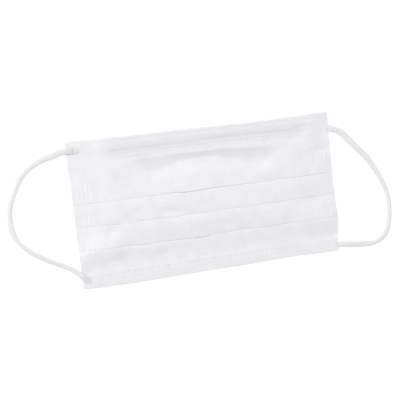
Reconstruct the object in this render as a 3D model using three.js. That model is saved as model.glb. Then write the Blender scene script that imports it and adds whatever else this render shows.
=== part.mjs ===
// Surgical face mask, lying face up with its ear loops spread out: a folded panel with three
// pleats, a nose wire in its top hem, and two elastic cords welded on at the corners.
// Millimetres. +X runs along the panel, +Y points to its nose edge, +Z up. The origin is under the
// middle of the panel, on the surface that the mask lies on.
import * as THREE from "three";

// The panel, with its pleats closed
const PANEL_LENGTH = 175;
const PANEL_HEIGHT = 95;
const CLOTH = 1;
const GAP = 0.3;

// Both hems are folded to the back
const TOP_HEM = 9.5;
const BOTTOM_HEM = 6.5;

// Each pleat is a Z of three layers: its outer crease, measured down from the top edge, and how far
// the cloth runs back up behind it
const PLEAT_DEPTH = 11;
const PLEATS = [
  { name: "upper", fromTop: 41 },
  { name: "middle", fromTop: 56 },
  { name: "lower", fromTop: 72 },
];

// The bendable strip inside the top hem
const WIRE_LENGTH = 136;
const WIRE_WIDTH = 3.6;
const WIRE_THICKNESS = 0.9;
// The hem falls back to its own height over WIRE_FADE, from WIRE_RUN_OUT past each end
const WIRE_RUN_OUT = 4;
const WIRE_FADE = 8;
const WIRE_MIDDLE = { x: 4.5, fromTop: 7.3 };

// The panel is puffed in the middle, and rises over the cord ends welded behind its right corners.
// Each row adds to its height: a broad cosine bump, as half widths along X and Y.
const PUFFS = [
  { name: "crown", x: 0, y: -3, halfX: 86, halfY: 33, rise: 2.6 },
  { name: "lip below the buckle", x: 14, y: 23.5, halfX: 44, halfY: 7.5, rise: 0.9 },
  { name: "buckle below the wire", x: 14, y: 29.5, halfX: 40, halfY: 5, rise: -0.35 },
  { name: "dent left of the buckle", x: -33, y: 25, halfX: 15, halfY: 9, rise: -0.8 },
  { name: "left end of the lower pleat", x: -62, y: -17, halfX: 18, halfY: 12, rise: 0.6 },
];
const CORNER_LIFTS = [
  { name: "over the upper weld", insideX: 73.5, outsideX: 80.5, insideY: 22, outsideY: 32 },
  { name: "over the lower weld", insideX: 73.5, outsideX: 80.5, insideY: -28, outsideY: -39 },
];

// The elastic cords: flat ovals, 8-sided
const CORD_WIDTH = 3.4;
const CORD_THICKNESS = 2;
const CORD_SIDES = 8;
const CORD_STEPS = 34;

// Their flattened ends, as the middle of each, its turn from +X and its length
const WELD_WIDTH = 4.2;
const WELD_THICKNESS = 1;
const FRONT_WELD_LENGTH = 5.4;
const BACK_WELD_LENGTH = 9;
const WELDS = {
  loop_weld_left_top: { x: -83.5, y: 41.7, turn: -4, length: FRONT_WELD_LENGTH, front: true },
  loop_weld_left_bottom: { x: -85.1, y: -42.5, turn: -42, length: FRONT_WELD_LENGTH, front: true },
  loop_weld_right_top: { x: 84.9, y: 38.1, turn: 162, length: BACK_WELD_LENGTH, front: false },
  loop_weld_right_bottom: { x: 84.9, y: -43.9, turn: 173, length: BACK_WELD_LENGTH, front: false },
};

// Heights that follow from the layers
const LAYER = CLOTH + GAP;
const HEM_TOP = CLOTH + LAYER;
const WIRE_FLOOR = LAYER;
const HALF_LENGTH = PANEL_LENGTH / 2;
const HALF_HEIGHT = PANEL_HEIGHT / 2;
const WIRE_Y = HALF_HEIGHT - WIRE_MIDDLE.fromTop;
const CORNER_LIFT = WELD_THICKNESS + GAP;
const FRONT_WELD_FLOOR = HEM_TOP + GAP;
const LYING = CORD_THICKNESS / 2 + 0.05;
const CROSSING = FRONT_WELD_FLOOR + CORD_THICKNESS / 2;

// Each cord's route along its middle, from its upper end to its lower one
const LEFT_ROUTE = [
  [-86.6, 42.0, CROSSING], [-88.6, 42.1, CROSSING], [-91.6, 41.5, CROSSING - 0.5],
  [-95.5, 40.2, LYING + 0.9], [-99.8, 38.9, LYING], [-105.2, 36.6, LYING], [-111.8, 33.2, LYING],
  [-117.8, 27.7, LYING], [-122.4, 19.5, LYING], [-125.8, 11.8, LYING], [-127.5, 3.8, LYING],
  [-127.3, -4.9, LYING], [-124.1, -12.1, LYING], [-118.0, -18.9, LYING], [-110.1, -24.7, LYING],
  [-101.8, -29.8, LYING], [-95.8, -33.4, LYING + 0.9], [-91.6, -36.7, CROSSING - 0.5],
  [-89.2, -38.8, CROSSING], [-87.4, -40.4, CROSSING],
];
const RIGHT_ROUTE = [
  [89.5, 36.6, LYING], [92.8, 35.6, LYING], [98.0, 33.0, LYING], [102.8, 28.3, LYING],
  [108.8, 21.4, LYING], [115.3, 14.0, LYING], [120.9, 5.0, LYING], [126.2, -5.8, LYING],
  [129.2, -15.8, LYING], [129.7, -25.6, LYING], [127.9, -35.0, LYING], [123.4, -42.4, LYING],
  [116.2, -46.7, LYING], [107.6, -47.4, LYING], [98.6, -46.0, LYING], [92.6, -45.0, LYING],
  [89.7, -44.6, LYING],
];

// How the cloth runs between its layers: the front leaves a hem just past the back flap's free
// edge, and rises or falls over these lengths
const HEM_SHOULDER = 1;
const TOP_HEM_FALL = 4;
const BOTTOM_HEM_RISE = 3.5;
const PLEAT_RISE = 4.1;

// Drawing steps: chords to a fold and to a rise, and sections along the panel, closer together near
// its ends, where the wire stops and the corners lift
const FOLD_CHORDS = 4;
const RISE_CHORDS = 3;
const END_SPACING = 7;
const END_SECTIONS = 3;
const MIDDLE_SECTIONS = 14;
const PUFFED_PIECES = 4;
const WALL_AT_FOLD = CLOTH / Math.cos(Math.PI / (2 * FOLD_CHORDS));

// Finishes
const CLOTH_WHITE = new THREE.MeshStandardMaterial({ color: 0xececef, roughness: 0.9, metalness: 0 });
const CORD_WHITE = new THREE.MeshStandardMaterial({ color: 0xe3e3e3, roughness: 0.95, metalness: 0 });
const WELD_WHITE = new THREE.MeshStandardMaterial({ color: 0xd8d8d8, roughness: 0.6, metalness: 0 });
const WIRE_WHITE = new THREE.MeshStandardMaterial({ color: 0xc8cacc, roughness: 0.5, metalness: 0 });

function smooth(t) {
  const clamped = Math.min(1, Math.max(0, t));
  return clamped * clamped * (3 - 2 * clamped);
}

function cosineBump(distance, half) {
  return Math.abs(distance) < half ? (1 + Math.cos((Math.PI * distance) / half)) / 2 : 0;
}

// How far the cloth stands above its pressed height at a place on the panel
function lift(x, y) {
  let height = 0;
  for (const puff of PUFFS) {
    height += puff.rise * cosineBump(x - puff.x, puff.halfX) * cosineBump(y - puff.y, puff.halfY);
  }
  for (const corner of CORNER_LIFTS) {
    const alongX = smooth((x - corner.insideX) / (corner.outsideX - corner.insideX));
    const alongY = smooth((y - corner.insideY) / (corner.outsideY - corner.insideY));
    height += CORNER_LIFT * alongX * alongY;
  }
  return Math.max(0, height);
}

// The middle line of the cloth at one section, as it runs from the free edge of the top hem, round
// the top edge, down the front through each pleat, and round the bottom edge
class ClothLine {
  constructor(y, z) {
    this.points = [{ y, z }];
  }

  last() {
    return this.points[this.points.length - 1];
  }

  runTo(y, pieces = 1) {
    const from = this.last();
    for (let i = 1; i <= pieces; i += 1) {
      this.points.push({ y: from.y + ((y - from.y) * i) / pieces, z: from.z });
    }
    return this;
  }

  // A gentle S from one height to another
  easeTo(y, z) {
    const from = this.last();
    for (let i = 1; i <= RISE_CHORDS; i += 1) {
      const t = i / RISE_CHORDS;
      this.points.push({ y: from.y + (y - from.y) * t, z: from.z + (z - from.z) * smooth(t) });
    }
    return this;
  }

  // A half circle that turns the cloth back on itself, bulging towards `way` along Y
  foldTo(z, way) {
    const from = this.last();
    const middle = (from.z + z) / 2;
    const radius = Math.abs(from.z - z) / 2;
    for (let i = 1; i <= FOLD_CHORDS; i += 1) {
      const angle = (Math.PI * i) / FOLD_CHORDS;
      const y = from.y + way * radius * Math.sin(angle);
      this.points.push({ y, z: middle + (from.z - middle) * Math.cos(angle) });
    }
    return this;
  }
}

// The hem stands higher where the wire lies in it
function hemHeight(x) {
  const fromEnd = WIRE_LENGTH / 2 - Math.abs(x - WIRE_MIDDLE.x);
  const extra = WIRE_THICKNESS + GAP;
  return LAYER + extra * smooth((fromEnd + WIRE_RUN_OUT + WIRE_FADE) / WIRE_FADE);
}

function clothLine(x) {
  const low = CLOTH / 2;
  const middle = low + LAYER;
  const high = middle + LAYER;
  const foldReach = (LAYER + WALL_AT_FOLD) / 2;
  const hemRise = hemHeight(x);
  const topFlapEdge = HALF_HEIGHT - TOP_HEM;
  const topShoulder = topFlapEdge - HEM_SHOULDER;
  const line = new ClothLine(topFlapEdge, low);
  line.runTo(HALF_HEIGHT - (hemRise + WALL_AT_FOLD) / 2, 2).foldTo(low + hemRise, 1);
  line.runTo(topShoulder, 2).easeTo(topShoulder - TOP_HEM_FALL, low);
  for (const pleat of PLEATS) {
    const crease = HALF_HEIGHT - pleat.fromTop;
    const stackEnd = crease + PLEAT_DEPTH;
    const pieces = pleat === PLEATS[0] ? PUFFED_PIECES : 1;
    line.runTo(stackEnd + GAP + PLEAT_RISE, pieces).easeTo(stackEnd + GAP, high);
    line.runTo(crease + foldReach, 2).foldTo(middle, -1);
    line.runTo(stackEnd - foldReach, 2).foldTo(low, 1);
  }
  const bottomFlapEdge = BOTTOM_HEM - HALF_HEIGHT;
  const bottomShoulder = bottomFlapEdge + HEM_SHOULDER;
  line.runTo(bottomShoulder + BOTTOM_HEM_RISE, PUFFED_PIECES).easeTo(bottomShoulder, middle);
  line.runTo(foldReach - HALF_HEIGHT).foldTo(low, -1).runTo(bottomFlapEdge);
  return line.points;
}

// The cloth's outer and inner face at a section: half a wall to each side of its middle line, then
// lifted
function clothFaces(x) {
  const line = clothLine(x);
  const faces = [[], []];
  line.forEach((point, i) => {
    const before = line[Math.max(0, i - 1)];
    const after = line[Math.min(line.length - 1, i + 1)];
    const into = new THREE.Vector2(point.y - before.y, point.z - before.z).normalize();
    const out = new THREE.Vector2(after.y - point.y, after.z - point.z).normalize();
    const along = into.clone().add(out).normalize();
    const whole = into.lengthSq() > 0 && out.lengthSq() > 0;
    const miter = whole ? 1 / Math.max(0.5, along.dot(into)) : 1;
    const reach = (CLOTH / 2) * miter;
    [1, -1].forEach((side, face) => {
      const y = point.y + side * reach * along.y;
      const z = point.z - side * reach * along.x;
      faces[face].push(new THREE.Vector3(x, y, z + lift(x, y)));
    });
  });
  return faces;
}

// Sections that each hold a closed ring of the same number of points, joined and capped
function loftRings(rings, capPairs) {
  const count = rings[0].length;
  const positions = rings.flat().flatMap((p) => [p.x, p.y, p.z]);
  const index = [];
  for (let s = 0; s < rings.length - 1; s += 1) {
    for (let i = 0; i < count; i += 1) {
      const a = s * count + i;
      const b = s * count + ((i + 1) % count);
      index.push(a, b, b + count, a, b + count, a + count);
    }
  }
  const end = (rings.length - 1) * count;
  for (const [a, b, c] of capPairs) {
    index.push(a, c, b, end + a, end + b, end + c);
  }
  const geometry = new THREE.BufferGeometry();
  geometry.setAttribute("position", new THREE.Float32BufferAttribute(positions, 3));
  geometry.setIndex(index);
  geometry.computeVertexNormals();
  return geometry;
}

function sectionPlaces() {
  const places = [];
  const middleStart = END_SPACING * END_SECTIONS - HALF_LENGTH;
  for (let i = 0; i < END_SECTIONS; i += 1) {
    places.push(END_SPACING * i - HALF_LENGTH);
  }
  for (let i = 0; i <= MIDDLE_SECTIONS; i += 1) {
    places.push(middleStart * (1 - (2 * i) / MIDDLE_SECTIONS));
  }
  for (let i = END_SECTIONS - 1; i >= 0; i -= 1) {
    places.push(HALF_LENGTH - END_SPACING * i);
  }
  return places;
}

function foldedPanel() {
  const rings = sectionPlaces().map((x) => {
    const [outer, inner] = clothFaces(x);
    return [...outer, ...inner.reverse()];
  });
  const last = rings[0].length - 1;
  const caps = [];
  for (let i = 0; i < rings[0].length / 2 - 1; i += 1) {
    caps.push([i, i + 1, last - i], [i + 1, last - i - 1, last - i]);
  }
  return loftRings(rings, caps);
}

// A flat plate with round ends, extruded upwards from z = 0
function roundEndedPlate(length, width, thickness) {
  const straight = (length - width) / 2;
  const outline = new THREE.Shape();
  outline.absarc(straight, 0, width / 2, -Math.PI / 2, Math.PI / 2, false);
  outline.absarc(-straight, 0, width / 2, Math.PI / 2, (3 * Math.PI) / 2, false);
  return new THREE.ExtrudeGeometry(outline, { depth: thickness, bevelEnabled: false, curveSegments: 6 });
}

// A flattened cord end: square where the cord meets it, at -X, and round at its tip
function cordEndPlate(length) {
  const half = WELD_WIDTH / 2;
  const outline = new THREE.Shape();
  outline.moveTo(-length / 2, half);
  outline.lineTo(-length / 2, -half);
  outline.lineTo(length / 2 - half, -half);
  outline.absarc(length / 2 - half, 0, half, -Math.PI / 2, Math.PI / 2, false);
  const options = { depth: WELD_THICKNESS, bevelEnabled: false, curveSegments: 8 };
  return new THREE.ExtrudeGeometry(outline, options);
}

function cordTube(route) {
  const path = new THREE.CatmullRomCurve3(route.map(([x, y, z]) => new THREE.Vector3(x, y, z)));
  const corners = [];
  for (let i = 0; i < CORD_SIDES; i += 1) {
    const angle = (2 * Math.PI * (i + 0.5)) / CORD_SIDES;
    const flat = (CORD_THICKNESS / 2) * Math.cos(angle);
    corners.push(new THREE.Vector2(flat, (CORD_WIDTH / 2) * Math.sin(angle)));
  }
  const options = { steps: CORD_STEPS, extrudePath: path, bevelEnabled: false };
  return new THREE.ExtrudeGeometry(new THREE.Shape(corners), options);
}

function named(name, geometry, material) {
  const mesh = new THREE.Mesh(geometry, material);
  mesh.name = name;
  return mesh;
}

const mask = new THREE.Group();
mask.add(named("mask_body", foldedPanel(), CLOTH_WHITE));

const wire = named("nose_wire", roundEndedPlate(WIRE_LENGTH, WIRE_WIDTH, WIRE_THICKNESS), WIRE_WHITE);
wire.position.set(WIRE_MIDDLE.x, WIRE_Y, WIRE_FLOOR);
mask.add(wire);

mask.add(named("ear_loop_left", cordTube(LEFT_ROUTE), CORD_WHITE));
mask.add(named("ear_loop_right", cordTube(RIGHT_ROUTE), CORD_WHITE));

for (const [name, weld] of Object.entries(WELDS)) {
  const plate = named(name, cordEndPlate(weld.length), WELD_WHITE);
  plate.position.set(weld.x, weld.y, weld.front ? FRONT_WELD_FLOOR : 0);
  plate.rotation.z = THREE.MathUtils.degToRad(weld.turn);
  mask.add(plate);
}

export default mask;
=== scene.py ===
# %% [markdown]
# # A surgical face mask, lying flat
#
# The mask is a panel of thin non-woven cloth with three pleats, a nose wire in its top hem, and
# two elastic ear loops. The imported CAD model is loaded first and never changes: it says where each
# piece is and how big it is. Every piece that shows is then made again as a fine surface.

# %% Load the frame
from math import cos, pi, radians, sin

import bpy
import numpy as np
from mathutils import Matrix, Vector


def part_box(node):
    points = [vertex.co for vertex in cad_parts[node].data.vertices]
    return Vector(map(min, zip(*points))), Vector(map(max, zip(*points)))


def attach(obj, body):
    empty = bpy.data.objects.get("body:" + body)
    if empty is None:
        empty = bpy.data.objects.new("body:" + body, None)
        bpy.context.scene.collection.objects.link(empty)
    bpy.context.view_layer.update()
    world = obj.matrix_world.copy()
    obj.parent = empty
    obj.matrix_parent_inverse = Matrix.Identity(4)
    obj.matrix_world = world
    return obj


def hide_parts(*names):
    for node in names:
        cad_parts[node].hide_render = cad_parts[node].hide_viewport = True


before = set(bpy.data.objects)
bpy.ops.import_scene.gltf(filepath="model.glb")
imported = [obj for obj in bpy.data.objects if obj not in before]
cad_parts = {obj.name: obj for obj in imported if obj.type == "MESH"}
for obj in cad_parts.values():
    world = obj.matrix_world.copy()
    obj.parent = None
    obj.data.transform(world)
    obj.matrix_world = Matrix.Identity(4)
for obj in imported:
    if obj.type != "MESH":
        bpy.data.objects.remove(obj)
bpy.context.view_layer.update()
BODY = "root"
MM = 0.001
PANEL_LOW, PANEL_HIGH = (np.array(corner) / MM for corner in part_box("mask_body"))
WIRE_LOW, WIRE_HIGH = (np.array(corner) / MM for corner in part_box("nose_wire"))
HALF_LENGTH = PANEL_HIGH[0]
HALF_HEIGHT = PANEL_HIGH[1]
print("panel, mm:", np.round(PANEL_LOW, 2), np.round(PANEL_HIGH, 2))

# %% [markdown]
# ## The camera
#
# The photograph looks almost straight down. A 60 mm lens at 44 cm gives the panel's four corners
# the places that they have in it: the side that is nearer the camera is the longer one. The
# camera's upward direction is given by a hint, the panel's +Y turned a few degrees.

# %% Camera
LENS_MM = 60.0
EYE = Vector((-92.4, 58.0, 430.2)) * MM
LOOKS_AT = Vector((-5.64, -0.40, 0.0)) * MM
PICTURE_TURN = radians(6.39)


def look_at(place, target, up_hint):
    """The matrix of an object at place whose -Z points to target: back, right and up axes."""
    back = (place - target).normalized()
    right = up_hint.cross(back).normalized()
    up = back.cross(right)
    turn = Matrix((right, up, back)).transposed().to_4x4()
    return Matrix.Translation(place) @ turn


camera_data = bpy.data.cameras.new("camera")
camera_data.lens = LENS_MM
camera_data.sensor_fit = "HORIZONTAL"
camera_data.sensor_width = 36.0
camera_data.clip_start = 0.01
camera = bpy.data.objects.new("camera", camera_data)
bpy.context.collection.objects.link(camera)
camera.matrix_world = look_at(EYE, LOOKS_AT, Vector((sin(PICTURE_TURN), cos(PICTURE_TURN), 0)))
bpy.context.scene.camera = camera
print("camera at, m:", tuple(round(v, 3) for v in camera.location))

# %% [markdown]
# ## Small helpers
#
# Every new surface is a grid of points worked out with numpy. One function turns such a grid into
# a mesh, and a few smooth steps and bumps are what the shapes are written with. A thin sheet has
# a grid for each of its faces, and a strip of faces round its edge makes it one closed surface.


# %% Shape helpers
def smooth(t):
    """0 below 0, 1 above 1, and an S between them."""
    t = np.clip(t, 0.0, 1.0)
    return t * t * (3.0 - 2.0 * t)


def hill(distance, half):
    """A cosine hill: 1 in the middle, 0 from half outwards."""
    return np.where(np.abs(distance) < half, 0.5 + 0.5 * np.cos(pi * distance / half), 0.0)


def box_step(distance, half, edge):
    """1 within half of the middle, falling to 0 over edge outside it."""
    return 1.0 - smooth((np.abs(distance) - half) / edge)


def eased(x, places, values):
    """Values between places, each step taken along an S."""
    i = np.clip(np.searchsorted(places, x) - 1, 0, len(places) - 2)
    t = smooth((x - places[i]) / (places[i + 1] - places[i]))
    return values[i] + (values[i + 1] - values[i]) * t


def grid_faces(rows, columns, close_columns=False, start=0):
    """Four-sided faces between the points of a grid whose columns run fastest."""
    wide = columns if close_columns else columns - 1
    r, c = np.meshgrid(np.arange(rows - 1), np.arange(wide), indexing="ij")
    a, b = r * columns + c, r * columns + (c + 1) % columns
    return np.stack([a, b, b + columns, a + columns], axis=-1).reshape(-1, 4) + start


def sheet_faces(rows, columns):
    """Faces of two grids, the second's points after the first's, joined all round their edge."""
    count = rows * columns
    ring = np.concatenate([
        np.arange(columns), np.arange(1, rows) * columns + columns - 1,
        (rows - 1) * columns + np.arange(columns - 2, -1, -1),
        np.arange(rows - 2, 0, -1) * columns])
    after = np.roll(ring, -1)
    return np.vstack([
        grid_faces(rows, columns), grid_faces(rows, columns, start=count)[:, ::-1],
        np.stack([ring, ring + count, after + count, after], axis=1)])


def make_piece(name, points_mm, faces, material, sharp_above=50.0):
    """A mesh object at the origin from points in millimetres and four-sided faces."""
    mesh = bpy.data.meshes.new(name)
    mesh.vertices.add(len(points_mm))
    mesh.vertices.foreach_set("co", (points_mm * MM).astype(np.float32).ravel())
    mesh.loops.add(faces.size)
    mesh.loops.foreach_set("vertex_index", faces.astype(np.int32).ravel())
    mesh.polygons.add(len(faces))
    mesh.polygons.foreach_set("loop_start", np.arange(0, faces.size, 4, dtype=np.int32))
    mesh.update(calc_edges=True)
    mesh.polygons.foreach_set("use_smooth", np.ones(len(faces), dtype=bool))
    mesh.set_sharp_from_angle(angle=radians(sharp_above))
    mesh.materials.append(material)
    mesh.validate()
    piece = bpy.data.objects.new(name, mesh)
    bpy.context.collection.objects.link(piece)
    print(name, "has", len(points_mm), "points and", len(faces), "faces")
    return piece


def give_attribute(piece, name, values):
    """Keeps one number for each point of a piece, for its material to read."""
    piece.data.attributes.new(name, "FLOAT", "POINT").data.foreach_set(
        "value", values.astype(np.float32).ravel())


def give_places(piece, name, places):
    """Keeps three numbers for each point of a piece, such as its place on the flat cloth."""
    piece.data.attributes.new(name, "FLOAT_VECTOR", "POINT").data.foreach_set(
        "vector", places.astype(np.float32).ravel())


# %% [markdown]
# ## Materials
#
# A material is a small tree of nodes. Colours are written as they look on a screen, and one
# function turns them into the linear values that the renderer wants. One helper adds any node.


# %% Material helpers
def linear(hex_colour):
    """sRGB hex to linear red, green, blue and alpha."""
    channels = np.array([int(hex_colour[i:i + 2], 16) for i in (1, 3, 5)]) / 255.0
    low = channels / 12.92
    high = ((channels + 0.055) / 1.055) ** 2.4
    return (*np.where(channels <= 0.04045, low, high).tolist(), 1.0)


def add_node(tree, kind, links=None, inputs=None, **settings):
    """Adds a node: settings are its own, inputs are socket values, links are (node, output)."""
    node = tree.nodes.new(kind)
    for key, value in settings.items():
        setattr(node, key, value)
    for key, value in (inputs or {}).items():
        node.inputs[key].default_value = value
    for key, (source, output) in (links or {}).items():
        tree.links.new(source.outputs[output], node.inputs[key])
    return node


def new_material(name):
    """An empty material with its output node."""
    material = bpy.data.materials.new(name)
    material.use_nodes = True
    tree = material.node_tree
    tree.nodes.clear()
    return material, tree, tree.nodes.new("ShaderNodeOutputMaterial")


# %% [markdown]
# ### Spunbond cloth
#
# The outer layer is spunbond polypropylene: fine threads laid at random and bonded by a hot roller
# with rows of small points. To the eye it is matt and nearly white, a little cool, with faint
# clouds where the web is thicker, small pressed points, and short threads lying every way. The
# points are about 1 mm apart on the real roll. They are drawn 1.6 mm apart, so that they show.
# Where the mask is welded the threads are melted into a smooth, glossier film, and its lighter
# colour is a painted highlight, stronger on the left side's marks than on the right's. Where the
# wire lies behind the cloth it shows through as a slightly darker stripe; the darker band over the
# folded top hem, and the stripe's right end that turns up along a fold, are painted shade. The
# buckle under the wire is painted a little greyer too, as painted shade that deepens its fall. So
# thin a web also lets light through, which keeps the shadows inside the pleats pale: a fifth of the
# shader is translucent.

# %% Cloth material
CLOTH_COLOUR = "#EEEDF0"
CLOTH_THIN = "#E9E8EB"
# The grey of the wire showing through, also used as painted shade over the top hem, along a fold and in
# the buckle
WIRE_AND_PAINTED_SHADE = "#DCDCDF"
# Painted highlight: the melted weld film is painted lighter than the cloth
FILM_HIGHLIGHT_COLOUR = "#F4F4F6"
THROUGH = 0.2
BOND_SPACING = 1.6
CLOUD_SIZE = 9.0
THREAD_SIZE = 0.8


def cloth_material():
    """Clouds mix two whites, bonded points and threads give the relief, welds are smoother."""
    material, tree, output = new_material("spunbond_polypropylene_cloth")
    place = add_node(tree, "ShaderNodeAttribute", attribute_name="cloth_mm")
    weld = add_node(tree, "ShaderNodeAttribute", attribute_name="weld")
    # The 'wire' attribute greys the cloth where the wire shows through, and carries painted shade over
    # the top hem, along a fold and in the buckle
    wire = add_node(tree, "ShaderNodeAttribute", attribute_name="wire")
    clouds = add_node(tree, "ShaderNodeTexNoise", {"Vector": (place, "Vector")},
                      {"Scale": 1.0 / CLOUD_SIZE, "Detail": 3.0, "Roughness": 0.6})
    cloudy = add_node(tree, "ShaderNodeMapRange", {"Value": (clouds, "Fac")},
                      {"From Min": 0.35, "From Max": 0.7, "To Min": 0.0, "To Max": 1.0})
    white = add_node(tree, "ShaderNodeMix", {"Factor": (cloudy, "Result")},
                     data_type="RGBA")
    white.inputs[6].default_value = linear(CLOTH_COLOUR)
    white.inputs[7].default_value = linear(CLOTH_THIN)
    # Wire show-through and painted shade, mixed in by the 'wire' attribute
    wire_and_painted_shade_mix = add_node(tree, "ShaderNodeMix", {"Factor": (wire, "Fac")}, data_type="RGBA")
    tree.links.new(white.outputs[2], wire_and_painted_shade_mix.inputs[6])
    wire_and_painted_shade_mix.inputs[7].default_value = linear(WIRE_AND_PAINTED_SHADE)
    # Painted highlight: welds are painted lighter, as the lamp's shine on their film
    film_highlight_mix = add_node(tree, "ShaderNodeMix", {"Factor": (weld, "Fac")}, data_type="RGBA")
    tree.links.new(wire_and_painted_shade_mix.outputs[2], film_highlight_mix.inputs[6])
    film_highlight_mix.inputs[7].default_value = linear(FILM_HIGHLIGHT_COLOUR)
    points = add_node(tree, "ShaderNodeTexVoronoi", {"Vector": (place, "Vector")},
                      {"Scale": 1.0 / BOND_SPACING, "Randomness": 0.15},
                      voronoi_dimensions="2D", feature="F1")
    pressed = add_node(tree, "ShaderNodeMapRange", {"Value": (points, "Distance")},
                       {"From Min": 0.12, "From Max": 0.34, "To Min": 0.0, "To Max": 1.0})
    stretch = add_node(tree, "ShaderNodeMapping", {"Vector": (place, "Vector")},
                       {"Scale": (1.0, 0.3, 1.0), "Rotation": (0.0, 0.0, 0.5)})
    threads = add_node(tree, "ShaderNodeTexNoise", {"Vector": (stretch, "Vector")},
                       {"Scale": 1.0 / THREAD_SIZE, "Detail": 4.0, "Roughness": 0.7})
    relief = add_node(tree, "ShaderNodeMath", {0: (pressed, "Result"), 1: (threads, "Fac")},
                      operation="ADD")
    bump = add_node(tree, "ShaderNodeBump", {"Height": (relief, "Value")},
                    {"Strength": 0.22, "Distance": 0.00012})
    rough = add_node(tree, "ShaderNodeMapRange", {"Value": (weld, "Fac")},
                     {"To Min": 0.92, "To Max": 0.45})
    shader = add_node(tree, "ShaderNodeBsdfPrincipled",
                      {"Normal": (bump, "Normal"), "Roughness": (rough, "Result")},
                      {"IOR": 1.49, "Sheen Weight": 0.15, "Sheen Roughness": 0.5,
                       "Specular IOR Level": 0.35})
    tree.links.new(film_highlight_mix.outputs[2], shader.inputs["Base Color"])
    let_through = add_node(tree, "ShaderNodeBsdfTranslucent", {"Normal": (bump, "Normal")})
    tree.links.new(film_highlight_mix.outputs[2], let_through.inputs["Color"])
    both = add_node(tree, "ShaderNodeMixShader", {1: (shader, 0), 2: (let_through, 0)},
                    {0: THROUGH})
    tree.links.new(both.outputs[0], output.inputs[0])
    return material


CLOTH_FINISH = cloth_material()

# %% [markdown]
# ### Knitted elastic and coated wire
#
# The loops are a narrow knit of textured nylon over elastane: soft, matt and a little greyer than
# the cloth, because light is lost between its ribs; the hollows of the knit, and the pits of the
# welded ends, are painted a darker grey as painted shade. Light also enters the yarn and comes out
# again less than a millimetre away, so the shading on its round sides is soft: that is what the
# subsurface part does. Its ends are melted flat, which makes them denser, darker and a little glossy.
# The wire's coating is satin plastic, with the faint lines that drawing leaves along it.

# %% Elastic and wire materials
ELASTIC_COLOUR = "#DFDFDF"
# Painted shade in the hollows of the knit
ELASTIC_HOLLOW_SHADE = "#D3D3D4"
WELDED_COLOUR = "#D4D4D4"
# Painted shade in the pits of the welded ends
WELDED_PIT_SHADE = "#C7C7C8"
COATING_COLOUR = "#C9CBCE"
YARN_SIZE = 0.35


def yarn_material(name, raised, hollow, roughness, sheen):
    """Two greys by how deep a point lies in the knit, the deeper one painted shade, one more where it
    is melted, and fuzz.
    """
    material, tree, output = new_material(name)
    depth = add_node(tree, "ShaderNodeAttribute", attribute_name="height")
    place = add_node(tree, "ShaderNodeAttribute", attribute_name="cord_mm")
    fuzz = add_node(tree, "ShaderNodeTexNoise", {"Vector": (place, "Vector")},
                    {"Scale": 1.0 / YARN_SIZE, "Detail": 3.0, "Roughness": 0.65})
    grey = add_node(tree, "ShaderNodeMix", {"Factor": (depth, "Fac")}, data_type="RGBA")
    grey.inputs[6].default_value = linear(hollow)
    grey.inputs[7].default_value = linear(raised)
    melted = add_node(tree, "ShaderNodeAttribute", attribute_name="melted")
    fused = add_node(tree, "ShaderNodeMix", {"Factor": (melted, "Fac")}, data_type="RGBA")
    tree.links.new(grey.outputs[2], fused.inputs[6])
    fused.inputs[7].default_value = linear(WELDED_COLOUR)
    bump = add_node(tree, "ShaderNodeBump", {"Height": (fuzz, "Fac")},
                    {"Strength": 0.3, "Distance": 0.0001})
    shader = add_node(tree, "ShaderNodeBsdfPrincipled", {"Normal": (bump, "Normal")},
                      {"Roughness": roughness, "Sheen Weight": sheen, "Sheen Roughness": 0.5,
                       "Specular IOR Level": 0.3, "Subsurface Weight": 0.5,
                       "Subsurface Scale": 0.7 * MM, "Subsurface Radius": (1.0, 1.0, 1.0)})
    tree.links.new(fused.outputs[2], shader.inputs["Base Color"])
    tree.links.new(shader.outputs[0], output.inputs[0])
    return material


def coating_material():
    """Polyethylene drawn round a steel core: satin, with faint lines along the strip."""
    material, tree, output = new_material("extruded_polyethylene_wire_coating")
    place = add_node(tree, "ShaderNodeTexCoord")
    lengthwise = add_node(tree, "ShaderNodeMapping", {"Vector": (place, "Object")},
                          {"Scale": (40.0, 4000.0, 4000.0)})
    lines = add_node(tree, "ShaderNodeTexNoise", {"Vector": (lengthwise, "Vector")},
                     {"Scale": 1.0, "Detail": 2.0})
    bump = add_node(tree, "ShaderNodeBump", {"Height": (lines, "Fac")},
                    {"Strength": 0.15, "Distance": 0.0001})
    shader = add_node(tree, "ShaderNodeBsdfPrincipled", {"Normal": (bump, "Normal")},
                      {"Base Color": linear(COATING_COLOUR), "Roughness": 0.45, "IOR": 1.51})
    tree.links.new(shader.outputs[0], output.inputs[0])
    return material


ELASTIC_FINISH = yarn_material("knitted_nylon_elastic", ELASTIC_COLOUR, ELASTIC_HOLLOW_SHADE, 0.95, 0.08)
WELDED_FINISH = yarn_material("heat_pressed_elastic", WELDED_COLOUR, WELDED_PIT_SHADE, 0.55, 0.0)

# %% [markdown]
# ## The ear loops
#
# Each loop is a flat knitted elastic, about 4 mm wide and 2 mm thick, that lies loose on the
# surface from one corner of its side to the other and twists as it goes. Its route is the one that
# the CAD tube follows. The section is carried along the route as an oval, turned by the twist, and
# the knit is real relief on it: lengthwise ribs, each a row of small V-shaped stitches.

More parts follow.
